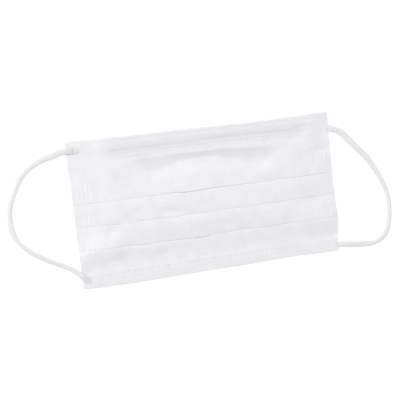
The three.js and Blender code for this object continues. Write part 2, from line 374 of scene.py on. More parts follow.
# %% Routes of the loops
CORD_WIDTH = 4.2
CORD_THICKNESS = 1.9
LYING = 1.05
CROSSING = 1.65
LEFT_ROUTE = np.array([
    [-84.4, 41.9, CROSSING - 0.3], [-88.4, 42.2, CROSSING], [-91.7, 41.9, CROSSING - 0.3],
    [-95.7, 40.7, LYING + 0.4], [-100.1, 39.6, LYING], [-105.8, 37.6, LYING], [-112.4, 34.0, LYING],
    [-118.6, 28.3, LYING], [-123.1, 19.9, LYING], [-126.8, 12.1, LYING], [-128.0, 3.8, LYING],
    [-127.5, -5.0, LYING], [-124.1, -12.2, LYING], [-117.9, -18.8, LYING], [-110.0, -24.5, LYING],
    [-101.5, -29.4, LYING], [-95.4, -32.9, LYING + 0.4], [-91.3, -36.4, CROSSING - 0.3],
    [-88.6, -39.1, CROSSING], [-85.6, -42.0, CROSSING - 0.3]])
RIGHT_ROUTE = np.array([
    [87.4, 37.2, LYING], [92.8, 35.4, LYING], [97.7, 32.7, LYING], [102.1, 27.7, LYING],
    [108.2, 20.9, LYING], [114.8, 13.6, LYING], [120.3, 4.8, LYING], [125.7, -6.0, LYING],
    [128.8, -15.9, LYING], [129.0, -25.5, LYING], [127.8, -34.9, LYING], [123.9, -42.8, LYING],
    [116.3, -47.0, LYING], [107.6, -46.8, LYING], [98.7, -45.7, LYING], [92.6, -44.8, LYING],
    [87.4, -44.3, LYING]])


def through(points, step, fine_count=4000):
    """A smooth line through points, as many places about step apart: a Catmull-Rom curve."""
    ends = np.vstack([2 * points[0] - points[1], points, 2 * points[-1] - points[-2]])
    t = np.linspace(0, len(points) - 1, fine_count)
    i = np.minimum(t.astype(int), len(points) - 2)
    u = (t - i)[:, None]
    a, b, c, d = ends[i], ends[i + 1], ends[i + 2], ends[i + 3]
    fine = 0.5 * (2 * b + (c - a) * u + (2 * a - 5 * b + 4 * c - d) * u ** 2
                  + (3 * b - a - 3 * c + d) * u ** 3)
    along = np.concatenate([[0], np.cumsum(np.linalg.norm(np.diff(fine, axis=0), axis=1))])
    even = np.linspace(0, along[-1], int(round(along[-1] / step)) + 1)
    return np.stack([np.interp(even, along, fine[:, k]) for k in range(3)], axis=1), even


# %% Loop surface
RIBS = 12
STITCH = 1.1
RIB_RELIEF = 0.11
STITCH_RELIEF = 0.10
RIB_SHARE = 0.55
ABOVE_SURFACE = 0.05
SECTION_RADIUS = 1.5
AROUND = 60
ALONG_STEP = 0.22


def loop_surface(name, route, turns, flat_ends, melted_ends):
    """An oval carried along the route.

    Its half axes are half the width and half the thickness. It is turned about the route by a
    twist that is interpolated between the rows of turns: share of the length, degrees, and how wide
    and how thick it is there by its usual size. A rib is the size of a sine round the section, and a
    stitch a hump that runs back to both sides of its rib.
    """
    line, along = through(route, ALONG_STEP)
    ahead = np.gradient(line, axis=0)
    ahead /= np.linalg.norm(ahead, axis=1)[:, None]
    sideways = np.cross(ahead, [0.0, 0.0, 1.0])
    sideways /= np.linalg.norm(sideways, axis=1)[:, None]
    upward = np.cross(sideways, ahead)
    share = along / along[-1]
    twist = np.radians(eased(share, turns[:, 0], turns[:, 1]))
    wider = eased(share, turns[:, 0], turns[:, 2])
    thicker = eased(share, turns[:, 0], turns[:, 3])
    across = np.cos(twist)[:, None] * sideways + np.sin(twist)[:, None] * upward
    over = np.cos(twist)[:, None] * upward - np.sin(twist)[:, None] * sideways
    near_end = np.minimum(along / flat_ends[0], (along[-1] - along) / flat_ends[1])
    pressed = 1.0 - smooth(near_end)
    half_wide = CORD_WIDTH / 2 * (wider + 0.08 * pressed)
    half_thick = CORD_THICKNESS / 2 * (thicker - 0.45 * pressed)
    turn = np.linspace(0, 2 * pi, AROUND, endpoint=False)
    rib = np.abs(np.sin(turn * RIBS / 2))
    lean = np.abs(((turn * RIBS / (2 * pi)) % 1.0) - 0.5)
    stitch = 0.5 + 0.5 * np.cos(2 * pi * (along[:, None] / STITCH - lean[None, :]))
    height = RIB_SHARE * rib[None, :] + (1 - RIB_SHARE) * rib[None, :] * stitch
    relief = (RIB_RELIEF * (rib[None, :] - 1) + STITCH_RELIEF * rib[None, :] * (stitch - 1))
    relief = relief * (1 - 0.7 * pressed)[:, None]
    wide = (half_wide[:, None] + relief) * np.cos(turn)
    thick = (half_thick[:, None] + relief) * np.sin(turn)
    extent = np.sqrt((half_wide * np.sin(twist)) ** 2 + (half_thick * np.cos(twist)) ** 2)
    lifted = np.maximum(line[:, 2], extent + ABOVE_SURFACE)
    centre = np.column_stack([line[:, :2], lifted])
    points = (centre[:, None, :] + wide[..., None] * across[:, None, :]
              + thick[..., None] * over[:, None, :])
    rows = len(line)
    faces = grid_faces(rows, AROUND, close_columns=True)[:, ::-1]
    caps, cap_faces = [], []
    for row, flip in ((0, False), (rows - 1, True)):
        ring = np.arange(row * AROUND, (row + 1) * AROUND)
        middle = rows * AROUND + len(caps)
        caps.append(centre[row])
        a, b = ring, np.roll(ring, -1)
        pair = (a[::2], b[::2], b[1::2]) if flip else (b[1::2], b[::2], a[::2])
        cap_faces.append(np.stack([*pair, np.full(AROUND // 2, middle)], axis=1))
    points = np.vstack([points.reshape(-1, 3), np.array(caps)])
    faces = np.vstack([faces, *cap_faces])
    piece = make_piece(name, points, faces, ELASTIC_FINISH)
    give_attribute(piece, "height", np.append(height.ravel(), [0.5, 0.5]))
    melted = 1.0 - smooth(np.minimum(along, along[-1] - along) / melted_ends)
    give_attribute(piece, "melted", np.append(np.repeat(melted, AROUND), [1.0, 1.0]))
    places = np.stack([np.broadcast_to(along[:, None], height.shape),
                       np.broadcast_to(turn * SECTION_RADIUS, height.shape), 0 * height], axis=-1)
    give_places(piece, "cord_mm", np.vstack([places.reshape(-1, 3), np.zeros((2, 3))]))
    return piece, centre, along[-1]


LEFT_TURNS = np.array([
    # share of the length, degrees, width, thickness
    (0.0, 0, 1.0, 0.8), (0.05, 0, 1.0, 0.8), (0.1, -2, 1.08, 0.95), (0.17, -4, 0.93, 0.95),
    (0.23, -6, 0.86, 0.95),
    (0.29, -10, 0.92, 1.0), (0.36, -14, 0.76, 1.05), (0.43, -16, 0.82, 1.05), (0.49, -18, 0.8, 1.1),
    (0.56, -16, 1.0, 1.05), (0.62, -20, 0.74, 1.05), (0.69, -22, 0.92, 1.0), (0.76, -22, 0.96, 1.0),
    (0.84, -22, 0.94, 1.0), (0.9, -18, 0.86, 1.0), (0.95, -8, 0.95, 0.8), (1.0, -4, 1.0, 0.8)])
RIGHT_TURNS = np.array([
    (0.0, 0, 1.0, 1.0), (0.04, -4, 1.08, 0.95), (0.09, -6, 1.22, 0.92), (0.2, -6, 1.2, 0.9),
    (0.28, -8, 1.14, 0.92), (0.36, -12, 0.96, 1.05), (0.45, -14, 0.86, 1.1), (0.52, -14, 0.8, 1.12),
    (0.6, -10, 0.82, 1.15), (0.67, -4, 0.82, 1.12), (0.73, 4, 1.02, 1.05), (0.8, 8, 0.88, 1.0),
    (0.86, 10, 1.16, 0.95), (1.0, 4, 1.0, 1.0)])
left_loop, left_line, left_length = loop_surface(
    "ear_loop_left_knit", LEFT_ROUTE, LEFT_TURNS, (3.5, 3.0), 9.0)
right_loop, right_line, right_length = loop_surface(
    "ear_loop_right_knit", RIGHT_ROUTE, RIGHT_TURNS, (4.5, 4.0), 2.0)
print("loop lengths, mm:", round(left_length, 1), round(right_length, 1))

# %% [markdown]
# ## The folded panel
#
# The panel is one sheet, about 175 by 183 mm before folding. Its section, from the free edge of
# the top hem to the free edge of the bottom hem, is a line that runs, eases and folds, and every
# step is worked out for all sections at once. The layers are pressed together at the welded sides
# and stand apart in the middle, where the mask is puffed.

# %% Sizes of the folds
CLOTH = 0.3
HEM_JOIN = 36.8
BOTTOM_HEM = 6.5
PLEAT_DEPTH = 11.0
PRESSED_CLOTH = 0.11
PRESSED_PITCH = 0.12
OPEN_PITCH = 0.56
LEAST_OPEN = 0.2
LOWEST_LAYER = 0.20
PUFFED_TO = 52.0
WELD_EASE = 22.0
# What the wire and the flap round it add to the height of the layers of the top hem
FLAP_BY_WIRE = 0.72
FLAP_END_RISE = 0.70
FRONT_OVER_FLAP = 0.34
FRONT_BY_WIRE = 1.16
JOINED_OVER_FLAP = 0.32
JOINED_BY_WIRE = 0.4
BUCKLE_TOP_Y = 33.0
UPPER_CREASE = [
    # x, y, how far open
    (-87.5, 6.7, 0.0), (-72, 6.9, 0.0), (-60, 6.7, 0.0), (-45, 6.9, 0.15), (-34, 6.9, 0.3),
    (-25, 7.1, 0.5), (-14, 6.5, 0.85), (-4, 6.6, 1.0), (4, 6.9, 0.7), (16, 6.6, 0.55),
    (30, 6.6, 0.45), (40, 6.3, 0.35), (50, 6.9, 0.35), (62, 6.4, 0.4), (75, 6.6, 0.3), (87.5, 6.5, 0.1)]
MIDDLE_CREASE = [
    (-87.5, -8.2, 0.0), (-74, -8.0, 0.05), (-66, -8.2, 0.0), (-57, -8.9, 0.0), (-44, -8.3, 0.0),
    (-33, -8.4, 0.05), (-24, -9.0, 0.1), (-14, -8.1, 0.05), (-2, -8.6, 0.0), (14, -8.3, 0.05),
    (26, -8.9, 0.2), (38, -8.2, 0.35), (50, -8.6, 0.25), (62, -8.1, 0.3), (75, -8.4, 0.2),
    (87.5, -8.3, 0.1)]
LOWER_CREASE = [
    (-87.5, -23.2, 0.0), (-68, -23.4, 0.0), (-57, -23.5, 0.1), (-46, -24.4, 0.5), (-34, -23.9, 0.4),
    (-22, -24.4, 0.45), (-8, -24.9, 0.9), (2, -24.5, 0.2), (14, -24.2, 0.0), (26, -23.8, 0.3),
    (38, -24.4, 0.5), (50, -24.1, 0.4), (60, -24.6, 0.1), (72, -24.3, 0.0), (87.5, -24.4, 0.0)]
CREASES = [np.array(table) for table in (UPPER_CREASE, MIDDLE_CREASE, LOWER_CREASE)]
# For each crease: how wide the cloth rolls down to it, and how far
ROLL = ((3.0, 0.10), (4.0, 0.10), (7.0, 0.12))
# The folded edges are not quite straight: x, y
TOP_EDGE = np.array([
    (-87.5, 48.2), (-70, 48.1), (-52, 47.8), (-30, 48.0), (-12, 47.8), (10, 47.7), (30, 47.2),
    (45, 47.5), (60, 48.0), (75, 48.2), (87.5, 48.3)])
BOTTOM_EDGE = np.array([
    (-87.5, -48.1), (-70, -48.8), (-58, -49.0), (-40, -48.9), (-20, -48.8), (0, -48.6),
    (20, -48.7), (45, -48.3), (60, -48.2), (72, -48.8), (87.5, -48.9)])


def pressed_at(x):
    """1 where the sides are welded, falling to 0 in the middle of the panel."""
    return smooth((np.abs(x) - PUFFED_TO) / WELD_EASE)


# %% [markdown]
# The grid lines across the panel are placed so that every weld mark has lines at both its ends:
# five lines to each dash of the hems, and a closer set at each column of the side welds.

# %% Grid lines across the panel
DASH_PITCH = 3.8
DASH_HALF = 1.05
DASH_EDGE = 0.4
DASH_LINES = np.array([-1, -1, 0, 1, 1]) * DASH_HALF + np.array([-1, 0, 0, 0, 1]) * DASH_EDGE
DASHES_TO = 72.0
SIDE_COLUMNS = (76.6, 79.3, 82.0)
SIDE_MARK_WIDTH = 0.5
SIDE_MARK_EDGE = 0.35
SIDE_LINES = np.array([-0.6, -0.25, 0.25, 0.6])
BEFORE_COLUMNS = 74.2
BEHIND_COLUMNS = 83.4
LAST_STEP = 0.15


def lines_across():
    """Places along X: the dash pattern in the middle, the weld columns at both sides."""
    half_dashes = int(DASHES_TO / DASH_PITCH)
    dashes = np.arange(-half_dashes, half_dashes + 1) * DASH_PITCH
    middle = (dashes[:, None] + DASH_LINES[None, :]).ravel()
    side = np.concatenate([
        [BEFORE_COLUMNS], *[column + SIDE_LINES for column in SIDE_COLUMNS],
        np.linspace(BEHIND_COLUMNS, HALF_LENGTH - LAST_STEP, 5), [HALF_LENGTH]])
    return np.unique(np.round(np.concatenate([-side, middle, side]), 4))


X = lines_across()
print("lines across:", len(X))


# %% [markdown]
# The section itself. `run` goes straight in Y and eases in Z, and `fold` is half an ellipse that
# turns the cloth back on itself. Both add whole columns for all the sections.

# %% The section line
class SectionLine:
    """The middle line of the cloth at every section, in millimetres."""

    def __init__(self, y, z):
        self.y = [np.broadcast_to(y, X.shape)[:, None]]
        self.z = [np.broadcast_to(z, X.shape)[:, None]]

    def run(self, y, z, count):
        """y goes evenly to its new value, z along an S."""
        t = np.linspace(0, 1, count + 1)[1:]
        y0, z0 = self.y[-1][:, -1:], self.z[-1][:, -1:]
        self.y.append(y0 + (np.broadcast_to(y, X.shape)[:, None] - y0) * t)
        self.z.append(z0 + (np.broadcast_to(z, X.shape)[:, None] - z0) * smooth(t))
        return self

    def fold(self, z, way, count, bulge=1.0):
        """Half an ellipse from the last height to z: bulge is its reach by its half height."""
        angle = np.linspace(0, pi, count + 1)[1:]
        y0, z0 = self.y[-1][:, -1:], self.z[-1][:, -1:]
        z1 = np.broadcast_to(z, X.shape)[:, None]
        half = (z0 - z1) / 2
        self.y.append(y0 + way * bulge * np.abs(half) * np.sin(angle))
        self.z.append((z0 + z1) / 2 + half * np.cos(angle))
        return self

    def lines(self):
        """All the columns side by side: y and z of every grid point."""
        return np.hstack(self.y), np.hstack(self.z)


def section_line():
    """From the top hem's free edge, round the top, through three pleats, to the bottom hem's."""
    pressed = pressed_at(X)
    cloth = CLOTH + (PRESSED_CLOTH - CLOTH) * pressed
    low = LOWEST_LAYER + 0.0 * X
    by_wire = smooth((X - WIRE_LOW[0] + 16) / 15) * smooth((WIRE_HIGH[0] + 17 - X) / 16)
    flap = low + FLAP_BY_WIRE * by_wire
    front = flap + FRONT_OVER_FLAP + FRONT_BY_WIRE * by_wire
    flap_end = flap + FLAP_END_RISE * by_wire
    joined = flap_end + JOINED_OVER_FLAP + JOINED_BY_WIRE * by_wire
    edge = eased(X, TOP_EDGE[:, 0], TOP_EDGE[:, 1]) - CLOTH / 2 - (front - flap) / 2
    wire_top, wire_bottom = WIRE_HIGH[1] + 0.5, WIRE_LOW[1] - 0.2
    # The top hem's flap goes up behind the wire, folds over, and comes down in front of it
    line = SectionLine(HEM_JOIN - 0.9, flap_end)
    line.run(HEM_JOIN + 0.6, flap_end, 3).run(wire_bottom, flap, 2).run(wire_top, flap, 2)
    line.run(edge, flap, 2).fold(front - 0.15 * by_wire, 1, 7)
    line.run(45.0, front - 0.05 * by_wire, 2).run(44.0, front + 0.08 * by_wire, 4)
    line.run(wire_top + 0.3, front + 0.22 * by_wire, 3)
    line.run(WIRE_LOW[1] + 1.0, front + 0.02 * by_wire, 5).run(wire_bottom, front - 0.04 * by_wire, 2)
    line.run(HEM_JOIN - 0.9, joined, 9).run(HEM_JOIN - 1.6, joined - 0.05 * by_wire, 3)
    # Each crease has its place, the height of one layer there, and how far it gapes
    shapes = []
    for table in CREASES:
        opened = eased(X, table[:, 0], table[:, 2])
        loose = np.maximum(opened, LEAST_OPEN * (1 - pressed))
        pitch = PRESSED_PITCH + (OPEN_PITCH - PRESSED_PITCH) * loose
        shapes.append((eased(X, table[:, 0], table[:, 1]), pitch, opened))
    top_start = shapes[0][0] + PLEAT_DEPTH
    line.run(BUCKLE_TOP_Y, joined - 0.3 * by_wire, 4)
    line.run(top_start + 0.4, low + 2 * shapes[0][1], 23)
    # A pleat goes down to its crease, back up behind itself, and down again as the lowest layer
    for number, ((crease, pitch, opened), (roll_width, roll_drop)) in enumerate(zip(shapes, ROLL)):
        high, middle = low + 2 * pitch, low + pitch
        drop = roll_drop * (1 - 0.8 * pressed)
        reach = cloth / 2 + pitch / 2
        stack_end = crease + PLEAT_DEPTH
        line.run(crease + roll_width + reach, high, 6).run(crease + reach, high - drop, 4)
        line.fold(middle - 0.8 * drop, -1, 6)
        line.run(crease + roll_width + reach, middle, 1)
        line.run(stack_end - reach, middle, 2).fold(low, 1, 5)
        line.run(crease + 4.0, low, 2).run(crease + 0.3, low, 2)
        line.run(crease - 0.6, low + 2 * pitch * (1.0 - 0.35 * opened), 4)
        if number < 2:
            line.run(shapes[number + 1][0] + PLEAT_DEPTH + 0.2, low + 2 * shapes[number + 1][1], 6)
    # The bottom hem folds to the back, and its flap ends above the row of welds
    bottom_line = BOTTOM_HEM - HALF_HEIGHT
    hem_front = low + FRONT_OVER_FLAP
    foot = eased(X, BOTTOM_EDGE[:, 0], BOTTOM_EDGE[:, 1]) + CLOTH / 2 + (hem_front - low) / 2
    line.run(bottom_line + 3.5, low + 0.05, 11).run(bottom_line + 0.5, hem_front, 4)
    line.run(bottom_line - 0.4, hem_front - 0.06, 4).run(bottom_line - 2.6, hem_front + 0.08, 3)
    line.run(bottom_line - 3.5, hem_front + 0.08, 4)
    line.run(foot, hem_front, 3).fold(low, -1, 7)
    line.run(bottom_line - 0.4, low, 3).run(bottom_line + 0.5, low, 2)
    return line.lines()


Y, Z = section_line()
print("lines along:", Y.shape[1], "and faces:", (len(X) - 1) * (Y.shape[1] - 1) * 2)

# %% [markdown]
# ## How the panel is puffed and dented
#
# The panel bulges in the middle and falls to its sides. Under the wire it buckles: the cloth falls
# along a sagging line and rises again slowly below it. Each puff or dent is a row with its middle,
# its half sizes, its turn and its rise. The panel also stands over the cord ends that are welded
# behind its right corners. All these are added to the height of the folded section.

# %% Puffs, dents and folds of the panel
PUFFS = [
    # name, x, y, half x, half y, turn, rise
    ("crown", 0.0, -5.0, 88.0, 42.0, 0.0, 0.8),
    ("left shoulder", -62.0, 22.0, 18.0, 14.0, 0.0, 0.7),
    ("right shoulder", 60.0, 24.0, 17.0, 13.0, 20.0, 0.4),
    ("bulge under the buckle", 0.0, 21.0, 46.0, 9.0, -3.0, 0.3),
    ("ridge above the upper crease", 44.0, 12.5, 30.0, 6.0, -3.0, 0.35),
    ("right fold", 72.0, 15.0, 6.0, 14.0, -32.0, -0.2),
    ("right wrinkle", 67.3, 18.0, 4.5, 1.7, 12.0, -0.3),
    ("right tick", 70.0, 24.6, 1.3, 2.6, 0.0, 0.3),
    ("fold over the upper right weld", 80.5, 22.8, 8.5, 3.0, -2.0, -0.3),
    ("dimple by the middle pleat", -46.3, -1.6, 2.4, 1.8, 20.0, -0.6),
    ("crease from the dimple", -53.5, -5.0, 11.0, 4.4, 27.0, -0.3),
    ("hollow above the middle crease", -27.0, -4.6, 12.0, 4.2, -8.0, -0.75),
    ("crease to the left side", -65.0, -11.5, 11.0, 4.6, 38.0, -0.5),
    ("dent at the left", -69.0, -18.0, 5.5, 6.5, 10.0, -0.75),
    ("left end of the lower pleat", -73.0, -23.3, 24.0, 12.8, 3.0, 2.3),
    ("right end of the lower pleat", 76.0, -23.5, 24.0, 17.0, -6.0, 2.7),
    ("small dent above the bottom hem", -5.5, -37.6, 4.0, 1.5, 0.0, -0.35),
    ("left dent above the bottom hem", -30.0, -31.0, 13.0, 4.5, 4.0, -0.4),
    ("middle dent under the lower pleat", 8.0, -18.0, 14.0, 4.0, -8.0, -0.35),
    ("corner pulled up by the lower left weld", -88.0, -30.0, 10.0, 13.0, 0.0, 1.3),
]
BUCKLE = np.array([
    # x, where the fall starts, where it ends, how deep it is, how much painted shade greys its cloth
    (-52, 31.8, 29.0, 0.0, 0.0), (-45, 31.8, 28.0, 0.5, 0.05), (-40, 31.8, 25.2, 1.2, 0.12),
    (-36, 31.8, 22.6, 1.8, 0.15), (-30, 32.0, 23.4, 1.8, 0.16), (-24, 32.2, 25.6, 1.8, 0.2),
    (-16, 32.4, 27.6, 1.9, 0.3), (-8, 31.9, 28.0, 2.0, 0.4), (0, 31.7, 27.9, 2.0, 0.4),
    (8, 31.8, 27.2, 2.0, 0.38), (16, 31.6, 25.7, 2.1, 0.36), (22, 31.2, 24.5, 2.2, 0.32),
    (28, 30.3, 23.6, 2.3, 0.3), (34, 29.9, 22.9, 2.2, 0.24), (40, 29.9, 22.8, 1.8, 0.18),
    (48, 30.2, 25.0, 0.9, 0.12), (54, 29.6, 26.0, 0.3, 0.04), (60, 29.4, 26.2, 0.0, 0.0)])
BUCKLE_RISE = 13.0
FALL_POWER = 0.8
PLATEAU = 2.4
WAVE_HEIGHT = 0.16
# Where the plateau and the waves end at the top, the bottom and the sides, and over how far
PLATEAU_EDGES = ((34.0, 42.0), (46.0, 36.0), (88.0, 30.0))
WAVE_EDGES = ((36.5, 5.0), (40.0, 4.0), (84.0, 14.0))
CORNERS_FROM = 71.0
CORNERS_EASE = 8.0
# The y where a side starts to rise to its corner, the y where it has risen, and how far
RIGHT_CORNERS = ((14.0, 36.0, 0.5), (-34.0, -42.0, 0.4))
LEFT_CORNERS = ((26.0, 37.0, 0.42), (-26.0, -34.0, 0.5))
BOTTOM_HEM_LIFT = 0.2
LEFT_EDGE_DROP = 0.3
RIGHT_EDGE_RISE = 0.5
LOWEST = 0.2
SIDE_BAND = 17.0
# How far the cut edges stand out beyond the CAD solid's straight sides: y, mm
LEFT_OUT = np.array([(-48, 1.0), (-20, 1.2), (5, 0.8), (20, 0.7), (30, 1.1), (48, 0.9)])
RIGHT_OUT = np.array([(-48, 1.3), (-35, 1.8), (-20, 1.9), (-8, 1.7), (2, 1.2), (16, 1.3), (28, 0.7),
                      (40, 0.9), (48, 1.0)])


def turned_hill(x, y, middle_x, middle_y, half_x, half_y, turn):
    """A cosine hill over an oval: the distance from its middle, in half sizes."""
    c, s = cos(radians(turn)), sin(radians(turn))
    u = (c * (x - middle_x) + s * (y - middle_y)) / half_x
    v = (c * (y - middle_y) - s * (x - middle_x)) / half_y
    return hill(np.hypot(u, v), 1.0)


def buckle(x, y):
    """A fold along a sagging line: level above it, an even fall, then a rise that slows down."""
    starts, ends, depth = (eased(x, BUCKLE[:, 0], BUCKLE[:, k]) for k in (1, 2, 3))
    fall = np.clip((starts - y) / (starts - ends), 0.0, 1.0) ** FALL_POWER
    rise = 1 - (1 - np.clip((ends - y) / BUCKLE_RISE, 0.0, 1.0)) ** 2
    inside = (x > BUCKLE[0, 0]) & (x < BUCKLE[-1, 0])
    return np.where(inside, -depth * fall * (1 - rise), 0.0)


def buckle_painted_shade(x, y):
    """Painted shade: the cloth is greyed along the buckle's fall, deepening the shadow there."""
    starts, ends, _, shade = (eased(x, BUCKLE[:, 0], BUCKLE[:, k]) for k in (1, 2, 3, 4))
    return shade * smooth((starts + 0.3 - y) / 1.6) * smooth((y - ends + 1.2) / 3.0)


def edges_out(x, y):
    """Moves a band along each side a little outwards, more where the table says so."""
    starts = HALF_LENGTH - SIDE_BAND
    left = eased(y, LEFT_OUT[:, 0], LEFT_OUT[:, 1]) * smooth((-x - starts) / SIDE_BAND)
    right = eased(y, RIGHT_OUT[:, 0], RIGHT_OUT[:, 1]) * smooth((x - starts) / SIDE_BAND)
    return x - left + right


def soft_waves(x, y, seed=7, count=26):
    """Faint unevenness: waves of random direction and length, all from one seed."""
    draw = np.random.default_rng(seed)
    total = np.zeros_like(x)
    for _ in range(count):
        length = draw.uniform(14.0, 48.0)
        way = draw.uniform(0, 2 * pi)
        phase = draw.uniform(0, 2 * pi)
        total += length * np.sin(2 * pi * (x * cos(way) + y * sin(way)) / length + phase)
    return total / (30.0 * np.sqrt(count))


def inside_panel(x, y, edges):
    """1 inside the panel, easing to 0 at its top, its bottom and both its sides."""
    (top, top_ease), (foot, foot_ease), (side, side_ease) = edges
    return (smooth((top - y) / top_ease) * smooth((y + foot) / foot_ease)
            * smooth((side - np.abs(x)) / side_ease))


def lift(x, y):
    """How far the cloth stands above its pressed height, from the tables above."""
    height = PLATEAU * inside_panel(x, y, PLATEAU_EDGES)
    for _, middle_x, middle_y, half_x, half_y, turn, rise in PUFFS:
        height += rise * turned_hill(x, y, middle_x, middle_y, half_x, half_y, turn)
    height += buckle(x, y) + WAVE_HEIGHT * soft_waves(x, y) * inside_panel(x, y, WAVE_EDGES)
    for way, corners in ((1, RIGHT_CORNERS), (-1, LEFT_CORNERS)):
        near_side = smooth((way * x - CORNERS_FROM) / CORNERS_EASE)
        for start, end, rise in corners:
            height += rise * near_side * smooth((y - start) / (end - start))
    height -= LEFT_EDGE_DROP * smooth((-x - 84) / 3.0) * box_step(y - 2, 16.0, 6.0)
    height += RIGHT_EDGE_RISE * smooth((x - 72) / 15.5) * box_step(y + 4, 26.0, 12.0)
    height += BOTTOM_HEM_LIFT * smooth((-33 - y) / 5) * smooth((HALF_LENGTH - np.abs(x)) / 20)
    return height


def kept_above_floor(z, height):
    """A lift goes up freely, and down only into the room that is left under the cloth."""
    room = np.maximum(z - LOWEST, 1e-6)
    return z + np.where(height > 0, height, -room * (1 - np.exp(height / room)))


# %% [markdown]
# ## Weld marks
#
# Ultrasonic welds join the layers: rows of short dashes along both hems, above and below the wire,
# and three columns of upright marks near each side. Each mark is a pressed pit in the cloth.

# %% Weld marks
# The y of each row of dashes, and how deep it is pressed
HEM_ROWS = ((44.5, 0.4), (36.2, 0.8), (-40.6, 1.0), (-44.1, 0.4))
DASH_ROWS_TO = 73.5
SIDE_MARKS = [
    # y, half its length, how deep at the left, at the right
    (31.5, 2.2, 0.1, 0.1), (24.5, 2.2, 0.15, 0.2), (17.5, 2.4, 1.0, 1.0), (10.3, 2.3, 0.9, 0.9),
    (3.3, 2.0, 0.1, 0.4), (-3.6, 2.3, 1.0, 0.4), (-12.0, 2.0, 0.1, 0.4), (-17.0, 1.2, 0.3, 0.8),
    (-21.4, 2.2, 0.9, 1.0), (-31.0, 2.2, 0.1, 0.1)]


def weld_marks(x, y):
    """Dashes along the hems, and upright marks at the sides: 1 in a pressed mark, 0 beside it."""
    to_dash = (x + DASH_PITCH / 2) % DASH_PITCH - DASH_PITCH / 2
    dash = box_step(to_dash, DASH_HALF, DASH_EDGE) * box_step(x, DASH_ROWS_TO, 0.5)
    dashes, uprights = np.zeros_like(x), np.zeros_like(x)
    for row_y, strength in HEM_ROWS:
        uneven = 0.75 + 0.25 * np.sin(x * 0.37 + row_y) * np.sin(x * 0.11 + 2 * row_y)
        row = uneven * strength * dash * box_step(y - row_y, 0.3, 0.3)
        dashes = np.maximum(dashes, row)
    for column in SIDE_COLUMNS:
        beside = box_step(np.abs(x) - column, SIDE_MARK_WIDTH / 2, SIDE_MARK_EDGE)
        for middle, half, at_left, at_right in SIDE_MARKS:
            uneven = 0.75 + 0.25 * np.sin(3.7 * column + 2.1 * middle + np.sign(x))
            mark = uneven * np.where(x < 0, at_left, at_right) * box_step(y - middle, half, 0.5)
            uprights = np.maximum(uprights, mark * beside)
    return dashes, uprights


# %% [markdown]
# ## From the line to the cloth
#
# The middle surface is lifted, then given a face on each side, half the cloth's thickness out along
# its normal. The free edges are closed, so that the sheet is one closed surface.

# %% Cloth surface
HEM_PIT = 0.24
SIDE_PIT = 0.16
HEM_FILM_AND_HIGHLIGHT = 0.1
RIGHT_FILM_AND_HIGHLIGHT = 0.35


def cloth_surface():
    """Both faces of the cloth: the middle surface moved out and in along its normal."""
    x = np.broadcast_to(X[:, None], Y.shape)
    dashes, uprights = weld_marks(x, Y)
    marks = np.maximum(dashes, uprights)
    z = kept_above_floor(Z, lift(x, Y))
    middle = np.stack([edges_out(x, Y), Y, z], axis=-1)
    along_x = np.gradient(middle, X, axis=0)
    along_s = np.gradient(middle, axis=1)
    normal = np.cross(along_s, along_x)
    normal /= np.linalg.norm(normal, axis=-1)[..., None]
    pressed = np.maximum(marks, pressed_at(X)[:, None])
    half = (CLOTH - (CLOTH - PRESSED_CLOTH) * pressed)[..., None] / 2
    sunk = middle.copy()
    sunk[..., 2] -= np.minimum(HEM_PIT * dashes + SIDE_PIT * uprights, sunk[..., 2] - LOWEST + 0.03)
    # Painted highlight: the film is painted lighter, fully on the left side's marks and about a third
    # as much on the right, as the lamp's shine from the left; the same share makes the marks glossier
    film_and_highlight = np.maximum(HEM_FILM_AND_HIGHLIGHT * dashes, uprights * np.where(x < 0, 1.0, RIGHT_FILM_AND_HIGHLIGHT))
    travelled = np.linalg.norm(np.diff(middle, axis=1), axis=-1)
    distance = np.concatenate([np.zeros((len(X), 1)), np.cumsum(travelled, axis=1)], axis=1)
    return sunk + normal * half, sunk - normal * half, film_and_highlight, distance


outer, inner, film_and_highlight, distance = cloth_surface()
ROWS, COLUMNS = Y.shape
print("path length, mm:", round(float(distance[ROWS // 2, -1]), 1), "lowest, mm:",
      round(float(min(outer[..., 2].min(), inner[..., 2].min())), 3))


# %% Panel mesh
# Painted shade over the folded top hem, as a share of the wire's grey
FLAP_PAINTED_SHADE = 0.28


def wire_show_through_and_painted_shade(x, y):
    """The wire showing through, and painted shade: a waved stripe whose right end turns up along a
    fold, and a band over the folded top hem.
    """
    waved = y - 0.4 * np.sin(x / 17.0 + 1.0) - 2.2 * smooth((x - 58) / 10)
    uneven = 0.8 + 0.2 * np.sin(x / 9.0) * np.cos(x / 23.0)
    over_wire = (smooth((WIRE_HIGH[1] + 0.3 - waved) / 3.2)
                 * smooth((waved - WIRE_LOW[1] + 1.2) / 2.2) * uneven)
    # Painted shade: the top hem, from its edge down past the wire, is painted a little darker
    by_flap = FLAP_PAINTED_SHADE * smooth((47.6 - y) / 1.5) * smooth((waved - WIRE_LOW[1] + 4.4) / 2.0)
    wire_middle = (WIRE_LOW[0] + WIRE_HIGH[0]) / 2
    return np.maximum(over_wire, by_flap) * box_step(x - wire_middle, 63.0, 8.0)


